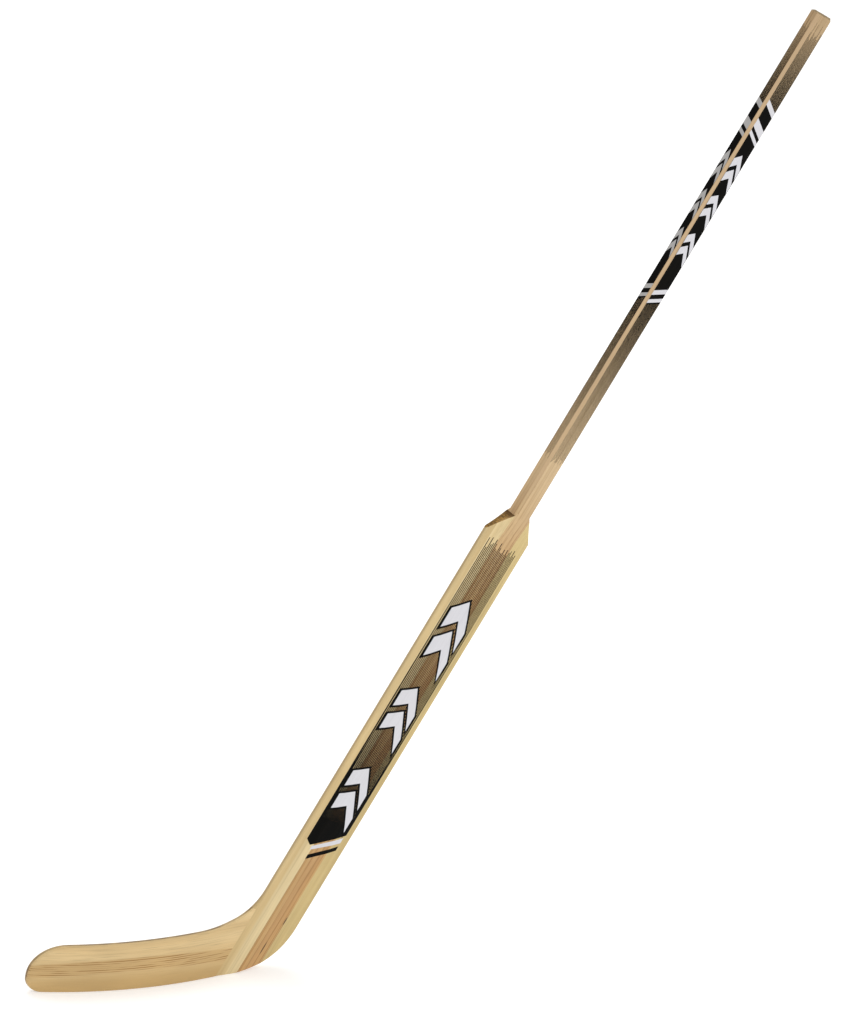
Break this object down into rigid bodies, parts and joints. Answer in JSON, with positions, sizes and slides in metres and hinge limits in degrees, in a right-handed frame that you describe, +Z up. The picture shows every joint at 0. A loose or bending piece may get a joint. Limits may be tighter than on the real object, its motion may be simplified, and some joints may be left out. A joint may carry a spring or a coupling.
{
  "type": "ice hockey goalkeeper stick",
  "caption": "Wooden goalkeeper's ice hockey stick: a laminated shaft that widens into a flat paddle, with a long curved blade let into the toe side of its heel.",
  "frame": {"origin": "the blocker hand's grip: on the shaft's axis, 50 mm above the top of the paddle's shoulder", "axes": "+Z up with the blade's sole level on the ice, -X towards the toe, the shaft leaning towards +X, -Y out of the blade's convex face, so the toe curves towards +Y"},
  "size_m": [1.0267, 0.0711, 1.3351],
  "materials": {
    "core_ply_pale": "clear lacquer, satin",
    "core_ply_dark": "clear lacquer, satin",
    "paddle_board": "clear lacquer, satin",
    "blade_ash": "clear lacquer, satin",
    "printed_film": "printed ink under clear lacquer"
  },
  "bodies": {
    "root": {"shaft_core_heel_side_outer_ply": "core_ply_pale", "shaft_core_heel_side_inner_ply": "core_ply_dark", "shaft_core_centre_ply": "core_ply_pale", "shaft_core_toe_side_inner_ply": "core_ply_dark", "shaft_core_toe_side_outer_ply": "core_ply_pale", "heel_side_paddle_board": "paddle_board", "toe_side_inner_paddle_board": "paddle_board", "toe_side_outer_paddle_board": "paddle_board", "blade": "blade_ash", "paddle_front_film": "printed_film", "paddle_back_film": "printed_film", "shaft_front_film": "printed_film", "shaft_back_film": "printed_film", "shaft_toe_side_film": "printed_film", "shaft_heel_side_film": "printed_film"}
  },
  "joints": []
}
